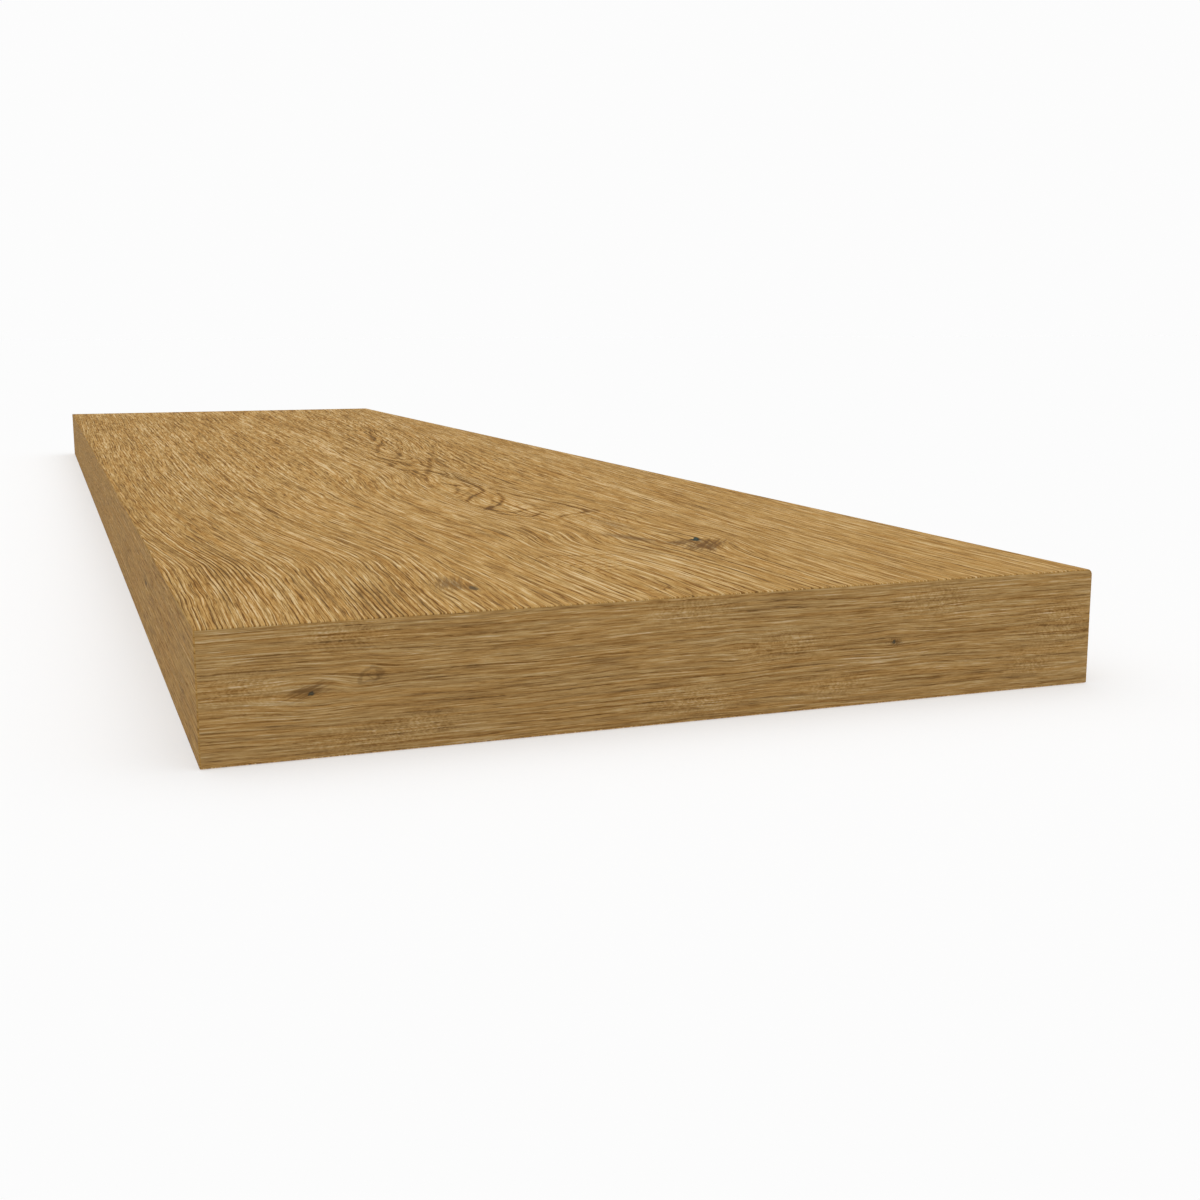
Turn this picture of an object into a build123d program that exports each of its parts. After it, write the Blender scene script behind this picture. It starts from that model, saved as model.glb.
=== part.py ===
"""Straight oak stair tread, one solid board.

X runs along the tread's length (the grain), Y across its depth and Z up.
The nosing, the edge that faces down the stair, is on the -Y side.
The origin is at the middle of the underside, so the tread lies on z = 0.
"""

import os

from build123d import *

# Driving dimensions, in millimetres
LENGTH = 1200.0  # along the grain, from end to end
DEPTH = 300.0  # from the nosing to the back edge
THICKNESS = 40.0  # underside to walking surface
NOSING_R = 2.0  # rounding of the nosing's upper edge
ARRIS_R = 0.4  # light easing of every other edge, as left by sanding

with BuildPart() as stair_tread:
    # The section across the depth. On this plane the sketch's own x is the
    # tread's Y and its own y is the tread's Z.
    with BuildSketch(Plane.YZ.offset(-LENGTH / 2)) as section:
        with Locations((0, THICKNESS / 2)):
            Rectangle(DEPTH, THICKNESS)
        nosing_side = section.vertices().group_by(Axis.X)[0].sort_by(Axis.Y)
        back_side = section.vertices().group_by(Axis.X)[-1]
        # Rounded where the walking surface turns into the nosing,
        # all but square at the back and below
        fillet(nosing_side[-1], radius=NOSING_R)
        fillet([nosing_side[0], *back_side], radius=ARRIS_R)
    # Sawn to length
    extrude(amount=LENGTH)
    # The arrises round both sawn ends are eased too
    ends = stair_tread.faces().filter_by(Axis.X)
    fillet(ends.edges(), radius=ARRIS_R)

stair_tread.part.label = "stair_tread"

os.makedirs("parts", exist_ok=True)
export_step(stair_tread.part, "parts/stair_tread.step")

box = stair_tread.part.bounding_box()
print("solids", len(stair_tread.part.solids()))
print("valid", stair_tread.part.is_valid)
print("size", box.size, "low", box.min, "high", box.max)
print("volume", stair_tread.part.volume)
rounds = stair_tread.part.faces().filter_by(GeomType.CYLINDER)
nosing = max(rounds, key=lambda face: face.area)
print("nosing rounding", nosing.radius, "centre", nosing.center())
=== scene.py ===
"""Oak stair tread: the board with its brushed grain, in the CAD frame (metres, X along the grain, nosing on -Y)."""
import math

import bpy
import numpy as np
from mathutils import Matrix, Vector


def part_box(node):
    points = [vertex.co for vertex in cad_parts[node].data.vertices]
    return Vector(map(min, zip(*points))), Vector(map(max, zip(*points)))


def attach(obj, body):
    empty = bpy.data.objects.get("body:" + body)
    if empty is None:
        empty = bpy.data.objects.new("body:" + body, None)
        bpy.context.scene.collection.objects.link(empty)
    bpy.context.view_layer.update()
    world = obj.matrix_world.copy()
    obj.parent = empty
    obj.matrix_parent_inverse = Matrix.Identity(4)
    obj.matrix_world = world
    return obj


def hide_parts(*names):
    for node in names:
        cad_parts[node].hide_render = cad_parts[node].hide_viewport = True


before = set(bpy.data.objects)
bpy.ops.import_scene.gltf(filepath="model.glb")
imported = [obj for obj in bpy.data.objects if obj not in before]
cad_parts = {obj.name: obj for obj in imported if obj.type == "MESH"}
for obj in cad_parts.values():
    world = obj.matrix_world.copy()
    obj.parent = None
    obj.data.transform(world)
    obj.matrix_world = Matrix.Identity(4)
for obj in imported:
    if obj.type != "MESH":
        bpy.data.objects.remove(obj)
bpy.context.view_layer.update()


LOW, HIGH = (np.array(list(c)) * 1000.0 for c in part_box("stair_tread"))
LENGTH, DEPTH, THICK = HIGH - LOW  # mm
NOSING_R, ARRIS_R = 2.0, 0.4  # mm, as on the solid

# ---------------------------------------------------------------- grain field
# u runs along the board from its near (-X) end, v across it from the back edge, both in mm.


def lattice(ix, iy, seed):
    h = (ix.astype(np.int64) * 374761393 + iy.astype(np.int64) * 668265263 + seed * 974634541) & 0xFFFFFFFF
    h = ((h ^ (h >> 13)) * 1274126177) & 0xFFFFFFFF
    h = h ^ (h >> 16)
    return (h & 0xFFFFFF) / float(0xFFFFFF)


def wander(x, y, seed):
    """Smooth value noise in -1..1, one bump to a unit."""
    ix, iy = np.floor(x), np.floor(y)
    fx, fy = x - ix, y - iy
    fx = fx * fx * fx * (fx * (fx * 6 - 15) + 10)
    fy = fy * fy * fy * (fy * (fy * 6 - 15) + 10)
    a = lattice(ix, iy, seed) * (1 - fx) + lattice(ix + 1, iy, seed) * fx
    b = lattice(ix, iy + 1, seed) * (1 - fx) + lattice(ix + 1, iy + 1, seed) * fx
    return 2 * (a * (1 - fy) + b * fy) - 1


def ease(t):
    t = np.clip(t, 0.0, 1.0)
    return t * t * (3 - 2 * t)


def curve(x, points):
    """A smooth line through (x, y) points, flat past its ends."""
    px = np.array([p[0] for p in points], float)
    py = np.array([p[1] for p in points], float)
    slope = np.gradient(py, px)
    x = np.clip(x, px[0], px[-1])
    k = np.clip(np.searchsorted(px, x, side="right") - 1, 0, len(px) - 2)
    h = px[k + 1] - px[k]
    t = (x - px[k]) / h
    return (
        py[k] * (1 + 2 * t) * (1 - t) ** 2
        + slope[k] * h * t * (1 - t) ** 2
        + py[k + 1] * t * t * (3 - 2 * t)
        + slope[k + 1] * h * t * t * (t - 1)
    )


def blob(u, v, uc, vc, su, sv, turn=0.0):
    a, b = u - uc, v - vc
    c, s = math.cos(turn), math.sin(turn)
    return np.exp(-(((a * c + b * s) / su) ** 2) - ((b * c - a * s) / sv) ** 2)


def streak(u, v, points, width, fade=25.0):
    """1 on a line that wanders along the board, 0 away from it, fading out at the line's ends."""
    first, last = points[0][0], points[-1][0]
    shown = ease((u - first + fade) / fade) * ease((last + fade - u) / fade)
    return shown * np.exp(-(((v - curve(u, points)) / width) ** 2))


def trace(u, v, points, width):
    """1 on a bent line through (u, v) points, 0 away from it."""
    pts = np.array(points, float)
    near = np.full(u.shape, 1e9)
    reach = ((u > pts[:, 0].min() - 9) & (u < pts[:, 0].max() + 9) & (v > pts[:, 1].min() - 9) & (v < pts[:, 1].max() + 9))
    ur, vr = u[reach], v[reach]
    best = np.full(ur.shape, 1e9)
    for (ua, va), (ub, vb) in zip(pts[:-1], pts[1:]):
        du, dv = ub - ua, vb - va
        t = np.clip(((ur - ua) * du + (vr - va) * dv) / (du * du + dv * dv), 0, 1)
        best = np.minimum(best, (ur - ua - t * du) ** 2 + (vr - va - t * dv) ** 2)
    near[reach] = best
    return np.exp(-near / width ** 2)


# Lines of growth, read as a flow: each row is a fibre's own place c and how far it is from the back edge at these u.
FLOW_U = [0, 40, 80, 120, 160, 200, 250, 300, 350, 430, 560, 700, 900, 1200]
FLOW = [
    (-20, [-14, -13, -12.5, -12, -15, -20, -25, -27, -28, -29, -28, -26, -22, -16]),
    (20, [20, 21.5, 21.8, 21, 16.5, 12.5, 9, 7.5, 6.5, 6, 7, 9, 12, 17]),
    (45, [43, 45, 46.5, 46.5, 42.5, 38, 34.5, 31.5, 30.5, 30, 31, 33.5, 37.5, 43]),
    (75, [71, 73.6, 75.8, 77, 72.5, 67.5, 63.3, 61.2, 60.5, 61, 63.5, 67, 72, 80]),
    (92, [90, 91, 92, 93, 89.5, 86, 82.5, 80, 79.5, 80.5, 84, 88, 94, 103]),
    (110, [112, 111.5, 110, 108.5, 107, 106, 103.5, 101.5, 101, 102, 107, 112, 119, 129]),
    (125, [126, 125, 125, 126.5, 124.5, 119.5, 116, 115, 116.5, 124, 130.5, 136, 141, 152]),
    (147, [146, 147, 146, 143.5, 147, 147, 143, 141, 143, 151, 158, 166, 176, 192]),
    (165, [165, 165, 163, 160.5, 164, 161.5, 157, 156, 158, 166, 175, 184, 198, 218]),
    (178, [178, 177.5, 175, 171.5, 175.5, 177, 177, 178, 180, 181, 187, 199, 216, 240]),
    (200, [197, 197, 198, 202, 199, 197, 197, 192.5, 191, 195, 208, 228, 249, 274]),
    (220, [215, 216, 218.5, 222, 223, 222.5, 222, 221.5, 222, 227, 238, 254, 274, 298]),
    (240, [233, 233, 233.5, 235, 236.5, 238.7, 242.7, 246.5, 250, 255, 265, 275, 291, 313]),
    (270, [261, 261, 261.5, 262.5, 264.5, 267, 270, 273, 276.5, 282, 292, 303, 320, 343]),
    (310, [300, 300, 300.5, 302, 304, 306, 309, 312.5, 316, 322, 332, 344, 361, 385]),
    (360, [349, 349, 349.5, 351, 353, 355, 358, 361.5, 365, 371, 381, 393, 410, 434]),
]


def fibre_at(u, v):
    """Which fibre passes through (u, v)."""
    lines = np.stack([curve(u, list(zip(FLOW_U, row))) for _, row in FLOW])
    c = np.array([row[0] for row in FLOW], float)
    slope = np.empty_like(lines)
    slope[1:-1] = (c[2:] - c[:-2])[:, None] / (lines[2:] - lines[:-2])
    slope[0] = (c[1] - c[0]) / (lines[1] - lines[0])
    slope[-1] = (c[-1] - c[-2]) / (lines[-1] - lines[-2])
    k = np.clip((lines <= v[None]).sum(0) - 1, 0, len(c) - 2)
    at = np.arange(len(u))
    low, h = lines[k, at], lines[k + 1, at] - lines[k, at]
    t = np.clip((v - low) / h, 0, 1)
    return (c[k] * (1 + 2 * t) * (1 - t) ** 2 + slope[k, at] * h * t * (1 - t) ** 2
            + c[k + 1] * t * t * (3 - 2 * t) + slope[k + 1, at] * h * t * t * (t - 1))


# Growth rings, counted: across the straight grain on either side, along the middle of the eye, along the far arches.
UPPER = [(-80, 112.2), (-20, 76.9), (20, 53.4), (45, 39.1), (60, 30.6), (75, 22.9), (92, 15.8), (110, 11), (120, 8.2), (127, 5.6), (131, 4.0),
         (135.5, 2.0), (138, 0.6), (190, -15)]
LOWER = [(60, -28), (140, -4), (153, 0.6), (156, 2.1), (159, 3.5), (162, 4.6), (170, 6.8), (178, 9.0), (200, 15.0), (220, 20.6),
         (240, 26.2), (270, 34.7), (310, 46.2), (380, 66.2)]
EYE = [(-40, 3.4), (0, 2.0), (12, 1.25), (20, 0.70), (30, 0.60), (48, 0.60), (56, 0.75), (62, 1.15), (68.5, 2.15), (75, 3.15),
       (81.5, 4.15), (88.5, 5.15), (96, 6.1), (110, 6.6), (140, 6.9), (200, 7.2), (1210, 7.2)]
ARCHES = [(0, 0), (385, 0), (425, -0.95), (465, -1.5), (500, -2.1), (540, -3.1), (598, -4.1), (640, -5.1), (700, -6.1), (800, -7.1),
          (900, -7.9), (1050, -8.9), (1210, -9.6)]
PUSHED = [(119, 203, 0.45, 26, 15), (44, 89, 0.50, 20, 7.5)]  # knots that part the grain: u, v, how much, reach
PALE = [
    ([(150, 126), (172, 123), (195, 119.5), (222, 117)], 1.3, 0.62),
    ([(270, 115), (300, 115), (350, 116.5), (390, 120)], 1.3, 0.55),
    ([(405, 123), (460, 126.5), (560, 130.5), (620, 133), (700, 136), (850, 138.5), (1000, 143)], 1.5, 0.62),
    ([(165, 236.5), (205, 239), (240, 242), (340, 249), (440, 255.5), (560, 265), (700, 275), (840, 284)], 2.2, 0.50),
    ([(110, 47), (150, 42), (215, 36.5)], 2.2, 0.40),
    ([(520, 148), (600, 153), (720, 160), (860, 165)], 3.0, 0.32),
    ([(0, 178), (40, 178), (90, 176)], 1.5, 0.42),
    ([(0, 186), (50, 186), (95, 187)], 1.2, 0.32),
    ([(560, 92), (700, 97), (900, 104)], 1.8, 0.34),
]
DARK = [
    ([(0, 71), (60, 75), (120, 77), (160, 72.5), (200, 67.5), (250, 63.3), (290, 61.3), (350, 60.5), (500, 63), (700, 67)], 0.8, 0.55),
    ([(0, 215), (40, 216), (100, 220), (130, 223)], 0.9, 0.42),
    ([(200, 109), (235, 107.2), (275, 104.3), (320, 101)], 1.1, 0.35),
    ([(195, 127), (245, 127), (300, 130)], 2.6, 0.22),
    ([(195, 250), (240, 251), (275, 254.5)], 2.2, 0.30),
    ([(415, 262), (460, 266), (500, 268.5)], 1.5, 0.32),
    ([(100, 137), (150, 149), (200, 156)], 1.8, 0.24),
    ([(84, 163.5), (104, 161.8), (122, 161.5), (140, 166), (154, 172)], 0.9, 0.42),
    ([(80, 192), (98, 197), (112, 206), (124, 212)], 0.9, 0.40),
]


TRACES = [  # the heavy lines of the heart and of the arches past it
    ([(206, 178), (211, 180), (214, 184), (217, 190), (222, 196), (231, 197.5), (246, 196), (262, 194.3), (276, 191.5), (286, 188.8),
      (300, 187), (320, 186), (338, 184)], 1.15, 0.50),
    ([(231, 156), (222, 159.5), (215.5, 163.5), (213.5, 167), (217, 170.5), (222, 172.5), (227, 176)], 1.05, 0.48),
    ([(258, 161), (248, 157), (238, 159), (230.5, 163), (231.5, 166), (237, 169.5), (241.5, 174), (240.5, 179), (234.5, 183),
      (231.5, 186.5)], 1.15, 0.50),
    ([(248, 157), (256, 161), (263, 166.5), (275, 171.5), (288, 176), (300, 179), (314, 181.5)], 1.10, 0.46),
    ([(282, 156.5), (296, 161.5), (307, 166.5), (316, 172.5), (326, 177.5), (340, 180), (362, 181.5), (400, 183)], 1.10, 0.46),
    ([(316, 159), (330, 164.5), (346, 169), (366, 172)], 1.0, 0.28),
    ([(247, 166), (254, 172), (262, 178), (256, 184), (246, 187)], 1.0, 0.22),
    ([(199, 171), (203, 179), (207, 188), (213, 196), (223, 202), (246, 202), (281, 197), (310, 194)], 1.0, 0.20),
    ([(238, 151), (226, 153.5), (214, 157.5), (207, 163), (204, 170)], 1.0, 0.20),
    ([(262, 162), (280, 168.5), (300, 174), (322, 178.5)], 0.9, 0.18),
    ([(300, 157), (316, 164.5), (330, 171.5), (346, 175.5), (372, 178)], 0.9, 0.22),
    ([(424, 170), (434, 175), (455, 181), (480, 187.5), (506, 194), (536, 202)], 1.3, 0.46),
    ([(470, 196), (500, 199), (540, 206), (585, 213)], 1.2, 0.32),
    ([(520, 172), (503, 174), (499, 178), (504, 183), (518, 188)], 1.3, 0.38),
    ([(536, 176), (548, 183), (566, 189), (592, 195), (626, 203)], 1.3, 0.42),
    ([(594, 180), (610, 184), (640, 190), (668, 198), (694, 207)], 1.3, 0.40),
    ([(640, 196), (664, 205), (690, 213), (716, 221)], 1.2, 0.28),
    ([(700, 199), (740, 206), (790, 217), (840, 228)], 1.3, 0.26),
]


def top_rings(u, v):
    """Fibre and ring count on the walking face."""
    shift = np.zeros_like(u)
    for uk, vk, much, su, sv in PUSHED:
        shift += (v - vk) * much * blob(u, v, uk, vk, su, sv)
    near = 1 - ease((u - 330) / 60)  # the finest wander is where the mesh is fine
    c = fibre_at(u, v - shift + 1.1 * wander(u / 150, v / 40, 1))
    w = c + 0.55 * wander(u / 62, v / 17, 2) + (0.30 * wander(u / 17, v / 6.5, 3)) * (0.3 + 0.7 * near)

    # Rings: two walls of straight grain with the flat-sawn figure lying between them.
    notch = 3.0 * np.exp(-(((v - 146.5 - 0.05 * (u - 62)) / 5.0) ** 2)) * ease((u - 48) / 18) * (1 - ease((u - 100) / 30))
    kink = 2.0 * wander(u / 13, v / 9, 6) * blob(u, v, 78, 146, 26, 16)
    pushed = 19 * ease((u - 165) / 45) * (1 - 0.45 * ease((u - 300) / 70)) * np.exp(-(((w - 182) / 26) ** 2))
    k = 0.45 + 0.60 * (1 - ease((u - 110) / 40))
    r = k * np.logaddexp(np.logaddexp(curve(w, UPPER) / k, curve(w - pushed, LOWER) / k), curve(u + notch + kink, EYE) / k)
    band = np.exp(-(((w - 180) / np.where(w > 180, 28.0, 20.0)) ** 2))
    r += curve(u, ARCHES) * band
    r += 0.75 * wander(u / 40, v / 11, 5) * band * ease((u - 290) / 60)
    return w, r


def top_field(u, v):
    """The walking face and, carried on over the rounded nosing, the nosing face."""
    shape = u.shape
    u, v = u.ravel(), v.ravel()
    w, r = top_rings(u, v)
    steep = np.hypot((top_rings(u + 1.0, v)[1] - r) / 1.0, (top_rings(u, v + 0.5)[1] - r) / 0.5)  # rings to a mm

    bold = (1 - ease((w - 66) / 30)) * (0.38 + 0.52 * (1 - ease((u - 70) / 330)))
    under = 0.78 * blob(u, v, 15, 182, 100, 25)
    heart = 0.45 * blob(u, v, 250, 177, 58, 24)
    eye = 0.40 * blob(u, v, 64, 146, 48, 17)
    cathedral = 1.05 * ease((u - 310) / 90) * (1 - 0.4 * ease((u - 700) / 450)) * np.exp(-(((w - 180) / 25) ** 2))
    lower = 0.55 * np.exp(-(((w - 208) / 15) ** 2)) * ease((u - 380) / 160)
    line = 0.33 + np.maximum.reduce([bold, under, heart, eye, cathedral, lower])
    line *= (0.86 + 0.34 * wander(u / 130, w / 20, 11)) * (1 - 0.75 * blob(u, v, 168, 174, 34, 25))
    line *= 1 - 0.55 * blob(u, v, 70, 111, 75, 17)
    line *= np.clip(steep / 0.075, 0.12, 1.0)  # no blot where the face runs along a ring
    tone = np.zeros_like(u)
    for points, width, amount in PALE:
        tone += amount * streak(u, v, points, width) * np.clip(0.45 + 0.75 * wander(u / 26, v / 7, 12), 0, 1)
    for points, width, amount in DARK:
        tone -= amount * streak(u, v, points, width) * (0.70 + 0.30 * wander(u / 30, v / 9, 13))
    for points, width, amount in TRACES:
        tone -= 2.3 * amount * trace(u, v, points, width) * (0.82 + 0.28 * wander(u / 9, v / 6, 16))
    tone += 0.08 * blob(u, v, 80, 147, 26, 16)
    tone += 0.10 * wander(u / 240, w / 21, 14) + 0.05 * wander(u / 110, w / 8, 15)
    found = w, r, np.clip(line, 0.05, 1.6), np.zeros_like(u), tone
    return tuple(part.reshape(shape) for part in found)


def edge_field(u, z, seed, knots, ripples):
    """A long edge, an end or the underside: straight, finer grain along u, with a few pin knots and rippled patches."""
    z1 = z + 0.9 * wander(u / 75, z / 13, seed) + 0.35 * wander(u / 26, z / 6, seed + 1)
    for uk, zk, su, sz in knots:
        z1 = z1 - (z - zk) * 0.55 * blob(u, z, uk, zk, su * 2.2, sz * 2.4)
    ripple = np.zeros_like(u)
    for uk, zk, su, sz in ripples:
        ripple += blob(u, z, uk, zk, su, sz)
    line = 0.32 + 0.24 * wander(u / 60, z / 7, seed + 2)
    # The -0.06 sets the ends and the back edge darker than the walking face: painted shade on the upright faces.
    tone = -0.06 + 0.09 * wander(u / 85, z1 / 4.2, seed + 3) + 0.07 * wander(u / 40, z1 / 1.9, seed + 4)
    return z1, z1 * 0.42, np.clip(line, 0.1, 1.0), np.clip(ripple, 0, 1), tone


END_KNOTS = [(32, 19.4, 5.0, 1.8), (222, 20.8, 4.0, 1.6), (47, 23.4, 3.0, 1.8), (166, 21.5, 3.0, 1.6)]
END_RIPPLES = [(42, 36, 14, 4.5), (45, 4.5, 18, 4.0), (66, 8, 12, 3.5), (150, 36, 14, 5), (150, 6, 16, 5), (200, 7, 12, 4),
               (12, 22, 12, 6), (182, 22, 16, 5), (288, 22, 14, 8), (238, 33, 14, 5), (276, 9, 10, 4)]


def near_end_field(a, z):
    w, r, line, ripple, tone = edge_field(a, z, 31, END_KNOTS, END_RIPPLES)
    for points, width, amount in [
        ([(62, 29), (85, 28.3), (108, 27.4)], 0.9, 0.22), ([(122, 27.2), (140, 27.0), (164, 26.6)], 0.8, 0.22),
        ([(12, 14.5), (22, 13.6), (34, 12.8)], 0.8, 0.35), ([(205, 14.5), (232, 15.4), (262, 16.0)], 0.5, 0.35),
        ([(55, 23), (80, 22.4), (96, 21.6)], 0.7, -0.35), ([(40, 34.5), (62, 35), (84, 34.2)], 0.6, -0.30),
        ([(185, 19), (205, 20.5), (215, 20.8)], 0.7, -0.25),
    ]:
        tone = tone + amount * streak(a, z, points, width, 9.0)
    return w, r, line, ripple, tone


def far_end_field(a, z):
    return edge_field(a, z, 47, [(96, 24, 4.0, 1.7)], [(30, 8, 15, 5), (140, 33, 18, 5), (235, 12, 16, 5), (270, 32, 12, 5)])


def back_field(u, z):
    w, r, line, ripple, tone = edge_field(u, z, 61, [(189, 23.8, 7.0, 2.2), (742, 15, 6.0, 2.0)],
                      [(90, 33, 22, 5), (330, 8, 30, 5), (560, 30, 26, 6), (900, 12, 30, 6), (1100, 31, 22, 5)])
    # The back edge is set 0.10 darker still: painted shade that offsets the grazing sheen on it.
    return w, r, line, ripple, tone - 0.10


def under_field(u, v):
    """The underside: plainer flat-sawn figure, arches opening the other way, one knot."""
    v1 = v + 2.6 * wander(u / 210, v / 55, 71) + 0.8 * wander(u / 62, v / 18, 72)
    v1 = v1 - (v - 196) * 0.55 * blob(u, v, 842, 196, 40, 26)
    dv = v1 - 128 - 0.028 * (u - 600)
    depth = 44 + 0.036 * u + 3.0 * wander(u / 120, v * 0, 73)
    r = np.sqrt(dv * dv + depth * depth) / 3.2 + 0.44 * wander(u / 36, v / 12, 74) * np.exp(-((dv / 30) ** 2))
    w = dv * np.sqrt(1 + (depth * depth - 1600) / (dv * dv + 1600))
    line = (0.34 + 0.42 * np.exp(-((dv / 42) ** 2))) * (0.84 + 0.36 * wander(u / 140, v / 22, 75))
    tone = 0.16 * wander(u / 240, w / 21, 76) + 0.11 * wander(u / 110, w / 8, 77)
    return w, r, np.clip(line, 0.05, 1.1), np.zeros_like(u), tone


# ---------------------------------------------------------------- mesh


def spread(start, end, pitch):
    """Stations from start to end, pitch(x) apart."""
    dense = np.linspace(start, end, 6001)
    count = np.concatenate([[0], np.cumsum(np.diff(dense) / pitch(0.5 * (dense[1:] + dense[:-1])))])
    n = max(int(round(count[-1])), 1)
    return np.interp(np.linspace(0, count[-1], n + 1), count, dense)


def along_pitch(u):
    p = 9.0 - 6.9 * (1 - ease((u - 300) / 140))
    p = np.where((u > 56) & (u < 100), 1.5, p)
    return np.where((u > 106) & (u < 132), 1.3, p)


def across_pitch(v):
    p = 0.90 + 0.90 * ease((v - 88) / 22)
    return p - 0.72 * ease((v - 126) / 10) * (1 - ease((v - 204) / 10))


def section():
    """The closed section in (y, z): each run is (name, y, z, outward normal, distance across the face)."""
    half, a, r = DEPTH / 2, ARRIS_R, NOSING_R
    runs = []

    def flat(name, y, z, normal, s):
        y, z = np.broadcast_arrays(np.asarray(y, float), np.asarray(z, float))
        runs.append((name, y, z, np.tile(normal, (len(y), 1)), np.asarray(s, float)))

    def arc(name, yc, zc, radius, start, steps, s0):
        t = np.radians(np.linspace(start, start + 90, steps + 1))
        n = np.stack([np.cos(t), np.sin(t)], 1)
        runs.append((name, yc + radius * n[:, 0], zc + radius * n[:, 1], n, s0 + radius * (t - t[0])))

    top = spread(a, DEPTH - r, across_pitch)
    flat("top", half - top, THICK, (0, 1), top)
    arc("top", r - half, THICK - r, r, 90, 6, DEPTH - r)
    s = DEPTH - r + r * math.pi / 2
    levels = np.array([THICK - r, *LEVELS, a])
    flat("top", -half, levels, (-1, 0), s + THICK - r - levels)
    arc("under", a - half, a, a, 180, 3, -a * math.pi / 2)
    low = np.linspace(a - half, half - a, 25)
    flat("under", low, 0.0, (0, -1), low - low[0])
    arc("back", half - a, a, a, 270, 3, 0.0)
    s = a * math.pi / 2
    levels = np.array([a, *LEVELS[::-1], THICK - a])
    flat("back", half, levels, (1, 0), s + levels - a)
    arc("back", half - a, THICK - a, a, 0, 3, s + THICK - 2 * a)
    return runs


LEVELS = np.array([37.2, 34.6, 31.8, 29.0, 26.2, 23.4, 20.6, 17.8, 15.0, 12.2, 9.4, 6.6, 3.8, 1.6])
runs = section()
tags = {"top": 0, "under": 1, "back": 2, "near_end": 3, "far_end": 4}

angle = np.radians([90.0, 60.0, 30.0])
inner = spread(ARRIS_R, LENGTH - ARRIS_R, along_pitch)
station_u = np.concatenate([ARRIS_R * (1 - np.sin(angle)), inner, LENGTH - ARRIS_R * (1 - np.sin(angle[::-1]))])
station_in = np.concatenate([ARRIS_R * (1 - np.cos(angle)), np.zeros(len(inner)), ARRIS_R * (1 - np.cos(angle[::-1]))])

points, corners, corner_u, corner_v, face_tag = [], [], [], [], []
total = 0
rings_at = []  # for each run, its vertex numbers, station by station
for name, y, z, normal, s in runs:
    grid = np.empty((len(station_u), len(y), 3))
    grid[..., 0] = LOW[0] + station_u[:, None]
    grid[..., 1] = y[None] - station_in[:, None] * normal[None, :, 0]
    grid[..., 2] = z[None] - station_in[:, None] * normal[None, :, 1]
    if name == "top":
        # Brushed grain: the soft part of each ring is worn a little below the hard part, fading out at the edges.
        flat_part = normal[:, 1] > 0.999
        uu, vv = np.meshgrid(station_u, s, indexing="ij")
        _, r, line, _, _ = top_field(uu, vv)
        groove = 0.5 + 0.5 * np.cos(np.pi * (r - 0.12))  # every second ring
        coarse = ease((vv - 92) / 20)  # rows too far apart to carry a groove
        away = ease((vv - 1.2) / 5) * ease((LENGTH - 1.2 - uu) / 8) * ease((uu - 1.2) / 7) * ease((DEPTH - 3.5 - vv) / 6)
        sunk = 0.16 * groove ** 3 * np.clip(line, 0, 1) * (1 - coarse)
        crack = 0.35 * blob(uu, vv, 119.5, 204, 3.6, 1.5, 0.12) + 0.20 * blob(uu, vv, 39, 91, 3.0, 1.2, 0.1)
        sunk = sunk + crack + 0.05 * coarse * (0.5 - 0.5 * wander(uu / 60, vv / 5, 21))
        grid[..., 2] -= np.where(flat_part[None], sunk * away, 0.0)
    number = total + np.arange(grid.shape[0] * grid.shape[1]).reshape(grid.shape[:2])
    total += number.size
    points.append(grid.reshape(-1, 3))
    rings_at.append(number)
    quad = np.stack([number[:-1, :-1], number[:-1, 1:], number[1:, 1:], number[1:, :-1]], -1).reshape(-1, 4)
    su, sv = np.meshgrid(station_u, s, indexing="ij")
    corners.append(quad)
    for store, value in ((corner_u, su), (corner_v, sv)):
        store.append(np.stack([value[:-1, :-1], value[:-1, 1:], value[1:, 1:], value[1:, :-1]], -1).reshape(-1, 4))
    face_tag.append(np.full(len(quad), tags[name]))


def zip_rows(a, b, ya, yb):
    """Triangles between two rows of vertices that run the same way, a above b."""
    found, i, j = [], 0, 0
    while i < len(a) - 1 or j < len(b) - 1:
        if j == len(b) - 1 or (i < len(a) - 1 and abs(ya[i + 1] - ya[0]) <= abs(yb[j + 1] - yb[0])):
            found.append((a[i], b[j], a[i + 1]))
            i += 1
        else:
            found.append((a[i], b[j], b[j + 1]))
            j += 1
    return found


cap_tris, cap_tags = [], []
columns = np.linspace(DEPTH / 2 - ARRIS_R, ARRIS_R - DEPTH / 2, 112)
for which, tag in ((0, tags["near_end"]), (-1, tags["far_end"])):
    x = LOW[0] if which == 0 else HIGH[0]
    upper = np.concatenate([rings_at[0][which], rings_at[1][which][1:]])
    rows = [upper]
    nose, back = rings_at[2][which], rings_at[6][which][::-1]
    for k, level in enumerate(LEVELS):
        middle = np.stack([np.full(len(columns) - 2, x), columns[1:-1], np.full(len(columns) - 2, level)], 1)
        number = total + np.arange(len(middle))
        total += len(middle)
        points.append(middle)
        rows.append(np.concatenate([[back[k + 1]], number, [nose[k + 1]]]))
    rows.append(rings_at[4][which][::-1])
    place = np.concatenate(points)
    for a, b in zip(rows[:-1], rows[1:]):
        for tri in zip_rows(a, b, place[a, 1], place[b, 1]):
            cap_tris.append(tri if which == 0 else tri[::-1])
            cap_tags.append(tag)

place = np.concatenate(points)
quads, quad_u, quad_v, quad_tag = (np.concatenate(x) for x in (corners, corner_u, corner_v, face_tag))
cap_tris, cap_tags = np.array(cap_tris), np.array(cap_tags)

# Rows that meet are joined: one vertex for each place.
_, first, same = np.unique(np.round(place / 2e-4).astype(np.int64), axis=0, return_index=True, return_inverse=True)
same = same.reshape(-1)
place = place[first]
quads, cap_tris = same[quads], same[cap_tris]

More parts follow.
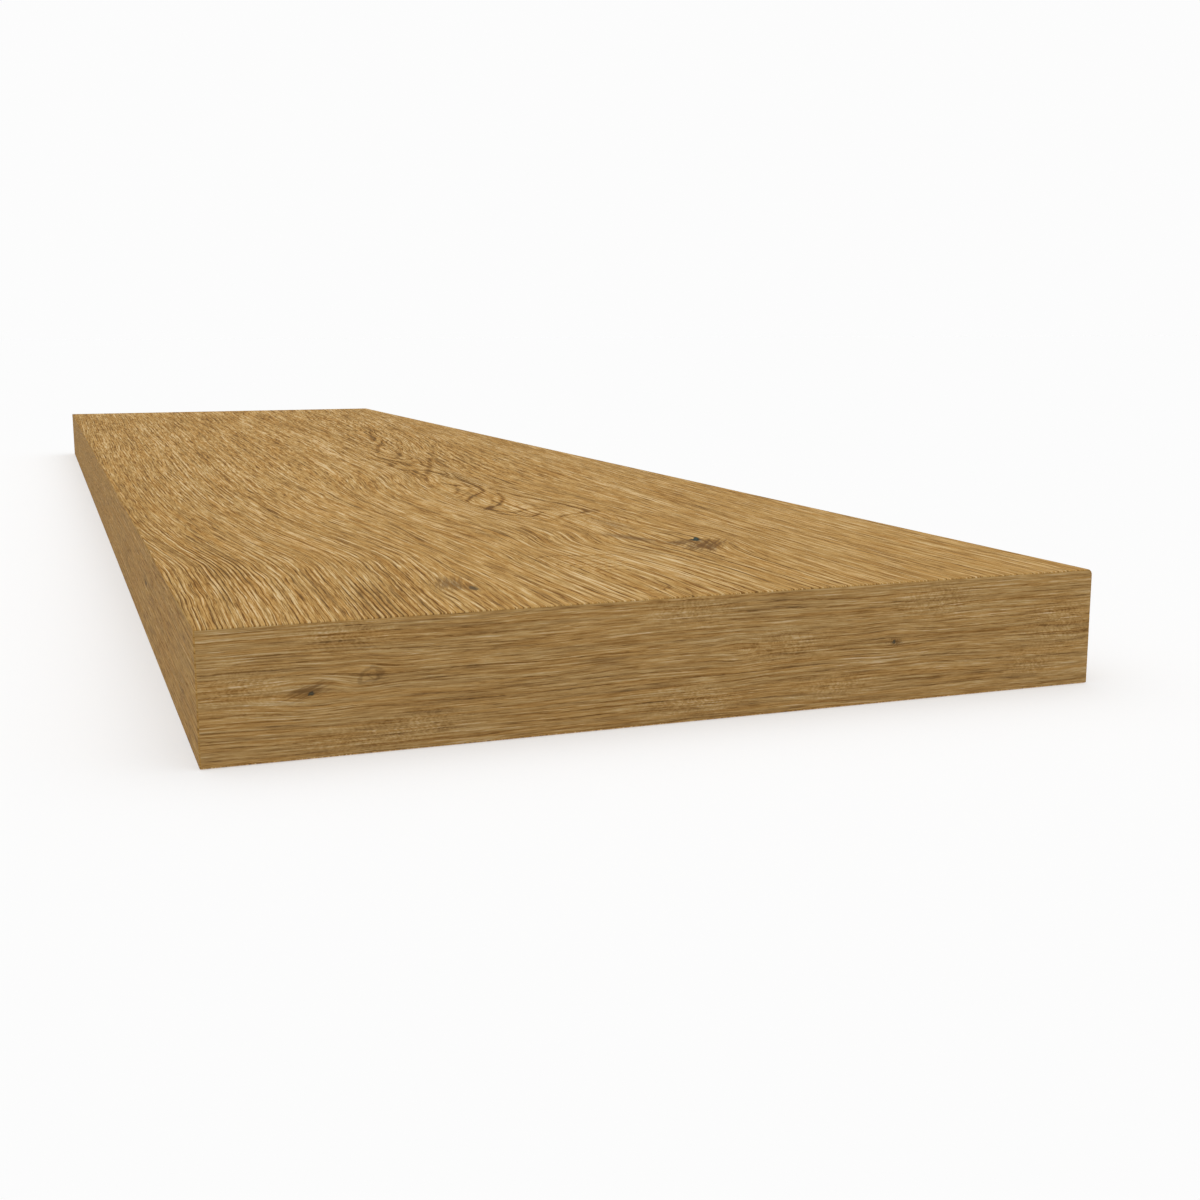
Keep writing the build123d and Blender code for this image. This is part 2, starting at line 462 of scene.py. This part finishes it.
faces, flat_u, flat_v, flat_tag = [], [], [], []
for q, qu, qv, t in zip(quads.tolist(), quad_u.tolist(), quad_v.tolist(), quad_tag.tolist()):
    keep = [k for k in range(4) if q[k] != q[k - 1]]
    if len(keep) < 3 or len({q[k] for k in keep}) < 3:
        continue
    faces.append([q[k] for k in keep])
    flat_u += [qu[k] for k in keep]
    flat_v += [qv[k] for k in keep]
    flat_tag += [t] * len(keep)
for tri, t in zip(cap_tris.tolist(), cap_tags.tolist()):
    if len(set(tri)) < 3:
        continue
    faces.append(tri)
    for k in tri:
        flat_u.append(DEPTH / 2 - place[k, 1])
        flat_v.append(place[k, 2])
        flat_tag.append(t)

mesh = bpy.data.meshes.new("oak_board")
mesh.from_pydata((place / 1000.0).tolist(), [], faces)
mesh.update()
mesh.polygons.foreach_set("use_smooth", np.ones(len(mesh.polygons), bool))

cu, cv, ct = np.array(flat_u), np.array(flat_v), np.array(flat_tag)
grain = np.zeros((len(cu), 3), np.float32)
figure = np.zeros((len(cu), 3), np.float32)
atlas = np.zeros((len(cu), 2), np.float32)
FIELDS = {"top": top_field, "under": under_field, "back": back_field, "near_end": near_end_field, "far_end": far_end_field}
APART = {"top": 0.0, "under": 3000.0, "back": 6000.0, "near_end": 9000.0, "far_end": 12000.0}  # so no two faces share a pattern
SCALE = {"top": (1.0, 1.0), "under": (1.0, 1.0), "back": (1.6, 1.0), "near_end": (2.0, 1.70), "far_end": (2.0, 1.70)}
STRIPS = {"top": (0.006, 0.994, 0.372, 0.994, LENGTH, 340.0), "back": (0.006, 0.994, 0.300, 0.362, LENGTH, 40.5),
          "under": (0.006, 0.994, 0.108, 0.290, LENGTH, 300.0), "near_end": (0.006, 0.496, 0.006, 0.098, DEPTH, 40.0),
          "far_end": (0.504, 0.994, 0.006, 0.098, DEPTH, 40.0)}
for name, tag in tags.items():
    here = ct == tag
    u, v = cu[here], cv[here]
    w, r, line, patch, tone = FIELDS[name](u, v)
    long, fine = SCALE[name]
    grain[here] = np.stack([u * long + APART[name], w * fine, r], 1)
    figure[here] = np.stack([line, patch, tone], 1)
    x0, x1, y0, y1, wide, high = STRIPS[name]
    atlas[here] = np.stack([x0 + (x1 - x0) * u / wide, y0 + (y1 - y0) * np.clip(v + 0.7, 0, high + 1.4) / (high + 1.4)], 1)

for name, data in (("grain", grain), ("figure", figure)):
    mesh.attributes.new(name, "FLOAT_VECTOR", "CORNER").data.foreach_set("vector", data.ravel())
mesh.uv_layers.new(name="OFBake").uv.foreach_set("vector", atlas.ravel())

board = bpy.data.objects.new("oak_board", mesh)
bpy.context.scene.collection.objects.link(board)

# ---------------------------------------------------------------- oak


class Nodes:
    """Short names for building a node tree."""

    def __init__(self, tree):
        self.tree = tree
        tree.nodes.clear()

    def new(self, kind, **props):
        node = self.tree.nodes.new(kind)
        for k, v in props.items():
            setattr(node, k, v)
        return node

    def put(self, socket, value):
        if isinstance(value, bpy.types.NodeSocket):
            self.tree.links.new(value, socket)
        else:
            socket.default_value = value

    def math(self, op, a, b=None, c=None, clamp=False):
        node = self.new("ShaderNodeMath", operation=op, use_clamp=clamp)
        for socket, value in zip(node.inputs, (a, b, c)):
            if value is not None:
                self.put(socket, value)
        return node.outputs[0]

    def add(self, a, b):
        return self.math("ADD", a, b)

    def mul(self, a, b):
        return self.math("MULTIPLY", a, b)

    def sub(self, a, b):
        return self.math("SUBTRACT", a, b)

    def xyz(self, x, y, z=0.0):
        node = self.new("ShaderNodeCombineXYZ")
        for socket, value in zip(node.inputs, (x, y, z)):
            self.put(socket, value)
        return node.outputs[0]

    def noise(self, vector, detail=2.0, rough=0.5, warp=0.0):
        node = self.new("ShaderNodeTexNoise", noise_dimensions="3D")
        self.put(node.inputs["Vector"], vector)
        node.inputs["Scale"].default_value = 1.0
        node.inputs["Detail"].default_value = detail
        node.inputs["Roughness"].default_value = rough
        node.inputs["Distortion"].default_value = warp
        return node.outputs["Fac"]

    def between(self, value, low, high, to_low=0.0, to_high=1.0, smooth=True):
        node = self.new("ShaderNodeMapRange", interpolation_type="SMOOTHSTEP" if smooth else "LINEAR")
        self.put(node.inputs["Value"], value)
        for name, number in (("From Min", low), ("From Max", high), ("To Min", to_low), ("To Max", to_high)):
            node.inputs[name].default_value = number
        return node.outputs[0]

    def steps(self, value, stops, colour=False):
        node = self.new("ShaderNodeValToRGB")
        ramp = node.color_ramp
        while len(ramp.elements) < len(stops):
            ramp.elements.new(0.5)
        for element, (at, c) in zip(ramp.elements, stops):
            element.position = at
            element.color = (*c, 1.0) if colour else (c, c, c, 1.0)
        self.put(node.inputs[0], value)
        return node.outputs[0]

    def mix(self, factor, a, b, blend="MIX"):
        node = self.new("ShaderNodeMix", data_type="RGBA", blend_type=blend)
        self.put(node.inputs[0], factor)
        self.put(node.inputs[6], a)
        self.put(node.inputs[7], b)
        return node.outputs[2]


def oak_material():
    mat = bpy.data.materials.new("oak_brushed")
    mat.use_nodes = True
    n = Nodes(mat.node_tree)
    out = n.new("ShaderNodeOutputMaterial")
    bsdf = n.new("ShaderNodeBsdfPrincipled")
    n.tree.links.new(bsdf.outputs[0], out.inputs["Surface"])

    def split(name):
        node = n.new("ShaderNodeAttribute", attribute_type="GEOMETRY", attribute_name=name)
        parts = n.new("ShaderNodeSeparateXYZ")
        n.put(parts.inputs[0], node.outputs["Vector"])
        return parts.outputs

    u, w, r = split("grain")
    line, patch, tone = split("figure")

    def spread_of(fac, amount):
        return n.mul(n.sub(fac, 0.5), amount)

    # Growth rings: a thin dark line, the pale band beside it, and finer lines between.
    sway = n.noise(n.xyz(n.mul(u, 0.12), n.mul(w, 0.42), 1.5), detail=2.0)
    turns = n.add(r, n.mul(spread_of(sway, 0.60), n.between(line, 0.7, 1.3, 1.0, 0.55)))
    ring = n.math("FLOOR", turns)
    within = n.math("FRACT", turns)
    chance = n.new("ShaderNodeTexWhiteNoise", noise_dimensions="1D")
    n.put(chance.inputs["W"], ring)
    chance = chance.outputs["Value"]
    thin = n.steps(within, [(0.0, 0.08), (0.05, 0.95), (0.10, 1.0), (0.17, 0.50), (0.27, 0.10), (0.55, 0.0), (1.0, 0.08)])
    broad = n.steps(within, [(0.0, 0.20), (0.06, 0.85), (0.15, 1.0), (0.30, 0.85), (0.46, 0.32), (0.70, 0.03), (1.0, 0.20)])
    early = n.add(thin, n.mul(n.sub(broad, thin), n.between(line, 1.00, 1.30)))
    flank = n.steps(within, [(0.0, 0.35), (0.05, 0.0), (0.22, 0.0), (0.38, 0.95), (0.58, 0.45), (0.85, 0.30), (1.0, 0.35)])
    broken = n.between(n.noise(n.xyz(n.mul(u, 0.024), n.mul(ring, 3.7), 5.0), detail=2.0), 0.30, 0.60, 0.35, 1.0)
    broken = n.math("MAXIMUM", broken, n.between(line, 0.75, 1.2, 0.0, 0.85))
    weight = n.mul(n.mul(line, n.add(n.mul(chance, 0.55), 0.50)), broken)
    dark = n.mul(early, weight)
    light = n.mul(flank, n.mul(line, 0.6))

    # Fibres, pores and streaks, all drawn out along the grain, and pale flecks and streaks that are painted highlights.
    streaks = n.noise(n.xyz(n.mul(u, 0.0050), n.mul(w, 0.15), 9.0), detail=3.0, rough=0.55)
    threads = n.noise(n.xyz(n.mul(u, 0.0090), n.mul(w, 0.70), 12.0), detail=2.0, rough=0.6)
    fibre = n.between(n.noise(n.xyz(n.mul(u, 0.034), n.mul(w, 1.25), 15.0), detail=2.0, rough=0.6), 0.33, 0.67)
    dash = n.between(n.noise(n.xyz(n.mul(u, 0.060), n.mul(w, 1.70), 16.0), detail=1.0), 0.55, 0.66)
    # Short pale flecks brightening the colour: painted highlights.
    painted_glint = n.between(n.noise(n.xyz(n.mul(u, 0.050), n.mul(w, 1.45), 17.0), detail=1.0), 0.57, 0.68)
    grit = n.noise(n.xyz(n.mul(u, 0.20), n.mul(w, 2.0), 18.0), detail=2.0, rough=0.6)
    pore_at = n.noise(n.xyz(n.mul(u, 0.10), n.mul(w, 2.5), 21.0), detail=1.0, rough=0.4)
    pores = n.mul(n.between(pore_at, 0.57, 0.68), n.add(n.mul(early, 0.7), 0.35))
    # Long pale streaks brightening the colour: painted sheen.
    painted_gleam = n.between(n.noise(n.xyz(n.mul(u, 0.009), n.mul(w, 0.70), 27.0), detail=2.0, rough=0.5), 0.60, 0.74)
    between_lines = n.math("FRACT", n.add(n.mul(turns, 2.7), spread_of(threads, 1.3)))
    fine = n.steps(between_lines, [(0.0, 0.0), (0.08, 0.9), (0.16, 1.0), (0.36, 0.15), (0.60, 0.0), (1.0, 0.0)])
    fine = n.mul(n.mul(fine, n.add(line, 0.12)), n.between(n.noise(n.xyz(n.mul(u, 0.035), n.mul(w, 0.5), 33.0)), 0.38, 0.62))
    # Rippled patches: short slanting strokes, feathered from one row to the next.
    slope = n.math("PINGPONG", n.add(w, spread_of(threads, 5.0)), 1.7)
    slant = n.noise(n.xyz(n.mul(n.add(n.mul(u, 0.5), n.mul(slope, 0.62)), 1.15), n.mul(w, 0.30), 36.0), detail=1.0)
    slant = n.between(slant, 0.36, 0.64)

    pale = n.math("MAXIMUM", tone, 0.0)
    away = n.mul(n.between(u, 250.0, 800.0), n.between(u, 1400.0, 2000.0, 1.0, 0.0))  # far half of the walking face
    value = n.add(0.552, n.mul(tone, 0.58))
    for part in (n.mul(n.sub(streaks, 0.5), n.add(n.mul(away, 0.34), 0.28)), n.mul(n.sub(threads, 0.5), n.add(n.mul(away, 0.40), 1.15)),
                 spread_of(fibre, 0.46), spread_of(grit, 0.50),
                 n.mul(dash, -0.22), n.mul(painted_glint, 0.19), n.mul(painted_gleam, 0.18), n.mul(light, 0.26), n.mul(dark, -0.62),
                 n.mul(fine, -0.20), n.mul(pores, -0.22), n.mul(patch, spread_of(slant, 0.34)),
                 n.mul(pale, spread_of(threads, 2.6)), n.mul(pale, spread_of(fibre, 0.7))):
        value = n.add(value, part)
    force = n.add(n.between(u, 4400.0, 5000.0, 1.10, 0.74), n.between(u, 8400.0, 8800.0, 0.0, 0.03))  # quieter on the edges
    value = n.add(0.545, n.mul(n.sub(value, 0.545), force))

    colour = n.steps(value, [
        (0.00, (0.108, 0.046, 0.011)), (0.22, (0.256, 0.126, 0.032)), (0.42, (0.405, 0.222, 0.064)),
        (0.56, (0.487, 0.280, 0.085)), (0.74, (0.594, 0.378, 0.140)), (1.00, (0.780, 0.585, 0.325)),
    ], colour=True)
    # Warm and grey drift from one streak to the next.
    drift = n.noise(n.xyz(n.mul(u, 0.0085), n.mul(w, 0.42), 30.0), detail=3.0, rough=0.65)
    colour = n.mix(n.between(drift, 0.42, 0.64, 0.0, 0.30), colour, (0.445, 0.284, 0.106, 1.0))
    colour = n.mix(n.between(drift, 0.56, 0.36, 0.0, 0.28), colour, (0.533, 0.266, 0.063, 1.0))
    # The back edge and the ends are multiplied a little darker and less blue here: painted shade on the upright faces.
    colour = n.mix(n.between(u, 4400.0, 5000.0), colour, (0.950, 0.955, 0.920, 1.0), "MULTIPLY")
    colour = n.mix(n.between(u, 8400.0, 8800.0), colour, (0.995, 1.033, 1.240, 1.0), "MULTIPLY")

    # Knots: brown smears with their own streaks, then a dark split in the heart of each.
    spot = n.new("ShaderNodeTexCoord").outputs["Object"]

    def oval(place, size, turn):
        """Distance from an oval's middle in its own radii, ragged along its length, for an oval given in mm."""
        move = n.new("ShaderNodeMapping", vector_type="TEXTURE")
        n.put(move.inputs["Vector"], spot)
        move.inputs["Location"].default_value = [c / 1000.0 for c in place]
        move.inputs["Rotation"].default_value = turn
        move.inputs["Scale"].default_value = [c / 1000.0 for c in size]
        far = n.new("ShaderNodeVectorMath", operation="LENGTH")
        n.put(far.inputs[0], move.outputs[0])
        return move.outputs[0], far.outputs["Value"]

    for place, size, turn, much in (
        ((-497, -51, 40), (22, 10.5, 6), (0, 0, -0.56), 0.90), ((-487, -45, 40), (12, 7.5, 6), (0, 0, -1.0), 0.82),
        ((-467, -31.5, 40), (25, 6.5, 6), (0, 0, 0.34), 0.80), ((-424, -40, 40), (28, 6.5, 6), (0, 0, 0.03), 0.42),
        ((-549, 64, 40), (18, 8.0, 6), (0, 0, -0.20), 0.74), ((-560, 59.5, 40), (10, 4.0, 6), (0, 0, -0.05), 0.60),
        ((-350, -8, 40), (12, 4.5, 6), (0, 0, -0.40), 0.72), ((-378, -47, 40), (10, 4, 6), (0, 0, -0.75), 0.55),
        ((-600, 119.2, 20.0), (4, 8.0, 2.9), (-0.28, 0, 0), 0.78), ((-600, -73.2, 20.0), (4, 3.8, 1.9), (0, 0, 0), 0.82),
        ((-600, 29, 21.6), (4, 11, 2.6), (0, 0, 0), 0.45),
        ((-411, 150, 23.8), (8, 4, 2.4), (0, 0, 0), 0.75), ((142, 150, 15), (7, 4, 2.2), (0, 0, 0), 0.70),
        ((600, -54, 24), (4, 4.6, 2.0), (0, 0, 0), 0.70), ((242, -46, 0), (17, 8, 5), (0, 0, 0.20), 0.75),
    ):
        local, far = oval(place, size, turn)
        stretch = n.new("ShaderNodeMapping", vector_type="POINT")
        n.put(stretch.inputs["Vector"], local)
        cross = [1.0 if c == max(size) else 5.5 for c in size]
        stretch.inputs["Scale"].default_value = cross
        torn = n.add(far, spread_of(n.noise(stretch.outputs[0], detail=3.0, rough=0.65), 2.5))
        colour = n.mix(n.between(torn, 1.0, 0.05, 0.0, much), colour, (0.160, 0.080, 0.026, 1.0))
    for place, size, turn, much in (((-600, 101, 23.2), (4, 3.6, 2.0), (-0.3, 0, 0), 0.42), ((-600, 100.2, 23.0), (4, 1.8, 0.9), (0.4, 0, 0), 0.40)):
        local, far = oval(place, size, turn)
        bent = n.add(far, spread_of(n.noise(local, detail=2.0), 1.1))
        loop = n.between(n.math("ABSOLUTE", n.sub(bent, 0.9)), 0.34, 0.08, 0.0, much)
        colour = n.mix(loop, colour, (0.150, 0.078, 0.027, 1.0))
    splits = None
    for place, size, turn, much in (
        ((-482.2, -53.4, 39.6), (3.9, 2.9, 4), (0, 0, -0.5), 0.95), ((-479.2, -55.2, 39.6), (5.0, 1.5, 4), (0, 0, -0.42), 0.95),
        ((-561, 59, 39.8), (5.0, 1.7, 4), (0, 0, -0.12), 0.52), ((-600, 118.2, 19.2), (4, 1.15, 0.70), (-0.2, 0, 0), 0.70),
        ((-600, -72.4, 20.2), (4, 0.75, 0.75), (0, 0, 0), 0.62), ((-411, 150, 23.8), (3.2, 4, 0.9), (0, 0, 0), 0.80),
        ((600, -54, 24), (4, 1.6, 0.8), (0, 0, 0), 0.80), ((242, -46, 0), (5.0, 2.0, 4), (0, 0, 0.2), 0.85),
    ):
        local, far = oval(place, size, turn)
        hole = n.between(n.add(far, spread_of(n.noise(local, detail=2.0), 1.2)), 1.0, 0.6, 0.0, much)
        splits = hole if splits is None else n.math("MAXIMUM", splits, hole)
    tint = n.mix(n.between(grit, 0.40, 0.60), (0.012, 0.024, 0.022, 1.0), (0.034, 0.066, 0.058, 1.0))
    colour = n.mix(splits, colour, tint)
    n.put(bsdf.inputs["Base Color"], colour)

    rough = n.add(n.add(0.68, spread_of(fibre, 0.10)), n.add(n.mul(dark, 0.16), n.mul(dash, 0.08)))
    n.put(bsdf.inputs["Roughness"], n.math("MINIMUM", rough, 0.92))
    bsdf.inputs["Specular IOR Level"].default_value = 0.05

    height = n.add(n.mul(dark, -0.75), n.add(n.mul(pores, -0.50), n.mul(dash, -0.35)))
    height = n.add(height, n.add(n.mul(fibre, 0.25), n.mul(fine, -0.30)))
    height = n.add(height, n.add(n.mul(light, 0.18), n.mul(splits, -2.0)))
    bump = n.new("ShaderNodeBump")
    bump.inputs["Strength"].default_value = 0.60
    bump.inputs["Distance"].default_value = 0.00028
    n.put(bump.inputs["Height"], height)
    n.put(bsdf.inputs["Normal"], bump.outputs[0])
    return mat


mesh.materials.append(oak_material())
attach(board, "root")
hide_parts("stair_tread")

# ---------------------------------------------------------------- studio


def plain(name, colour, rough):
    mat = bpy.data.materials.new(name)
    mat.use_nodes = True
    bsdf = mat.node_tree.nodes["Principled BSDF"]
    bsdf.inputs["Base Color"].default_value = (*colour, 1.0)
    bsdf.inputs["Roughness"].default_value = rough
    bsdf.inputs["Specular IOR Level"].default_value = 0.0
    return mat


floor_mesh = bpy.data.meshes.new("floor")
floor_mesh.from_pydata([(-30, -30, -0.0002), (30, -30, -0.0002), (30, 30, -0.0002), (-30, 30, -0.0002)], [], [(0, 1, 2, 3)])
floor = bpy.data.objects.new("floor", floor_mesh)
floor_pale = plain("floor_pale", (0.55, 0.55, 0.55), 0.9)
floor_pale.node_tree.nodes["Principled BSDF"].inputs["Emission Color"].default_value = (1.0, 1.0, 1.0, 1.0)
floor_pale.node_tree.nodes["Principled BSDF"].inputs["Emission Strength"].default_value = 0.43  # a lit white sweep
floor_mesh.materials.append(floor_pale)
bpy.context.scene.collection.objects.link(floor)

scene = bpy.context.scene
scene.view_settings.view_transform = "Standard"
scene.view_settings.look = "None"
scene.view_settings.exposure = 0.0
scene.view_settings.gamma = 1.0

world = bpy.data.worlds.new("studio")
scene.world = world
world.use_nodes = True
wn = Nodes(world.node_tree)
above = wn.new("ShaderNodeSeparateXYZ")
wn.put(above.inputs[0], wn.new("ShaderNodeTexCoord").outputs["Generated"])
height = wn.math("MAXIMUM", above.outputs["Z"], 0.0)
sky = wn.new("ShaderNodeBackground")
sky.inputs["Color"].default_value = (1.0, 1.0, 1.0, 1.0)
wn.put(sky.inputs["Strength"], wn.add(wn.mul(wn.mul(height, height), 1.90), 0.04))
backdrop = wn.new("ShaderNodeBackground")
backdrop.inputs["Color"].default_value = (1.0, 1.0, 1.0, 1.0)
backdrop.inputs["Strength"].default_value = 0.975
path = wn.new("ShaderNodeLightPath")
both = wn.new("ShaderNodeMixShader")
wn.put(both.inputs[0], path.outputs["Is Camera Ray"])
wn.put(both.inputs[1], sky.outputs[0])
wn.put(both.inputs[2], backdrop.outputs[0])
wn.put(wn.new("ShaderNodeOutputWorld").inputs["Surface"], both.outputs[0])


# ---------------------------------------------------------------- camera
# The picture is 1200 x 1200 with its centre on the lens axis; the near end (-X) faces the camera, nosing to the right.
azimuth, tilt, roll = math.radians(20.417), math.radians(-10.045), math.radians(-0.121)
forward = Vector((math.cos(azimuth) * math.cos(tilt), -math.sin(azimuth) * math.cos(tilt), math.sin(tilt)))
right = Vector((-math.sin(azimuth), -math.cos(azimuth), 0.0))
up = right.cross(forward)
right, up = right * math.cos(roll) + up * math.sin(roll), up * math.cos(roll) - right * math.sin(roll)
lens = bpy.data.cameras.new("camera")
lens.sensor_fit = "HORIZONTAL"
lens.sensor_width = 36.0
lens.lens = 1514.21 * 36.0 / 1200.0
lens.clip_start, lens.clip_end = 0.01, 200.0
camera = bpy.data.objects.new("camera", lens)
camera.matrix_world = Matrix((
    (right.x, up.x, -forward.x, -1.02220),
    (right.y, up.y, -forward.y, 0.18757),
    (right.z, up.z, -forward.z, 0.12048),
    (0, 0, 0, 1),
))
scene.collection.objects.link(camera)
scene.camera = camera

bpy.context.view_layer.update()
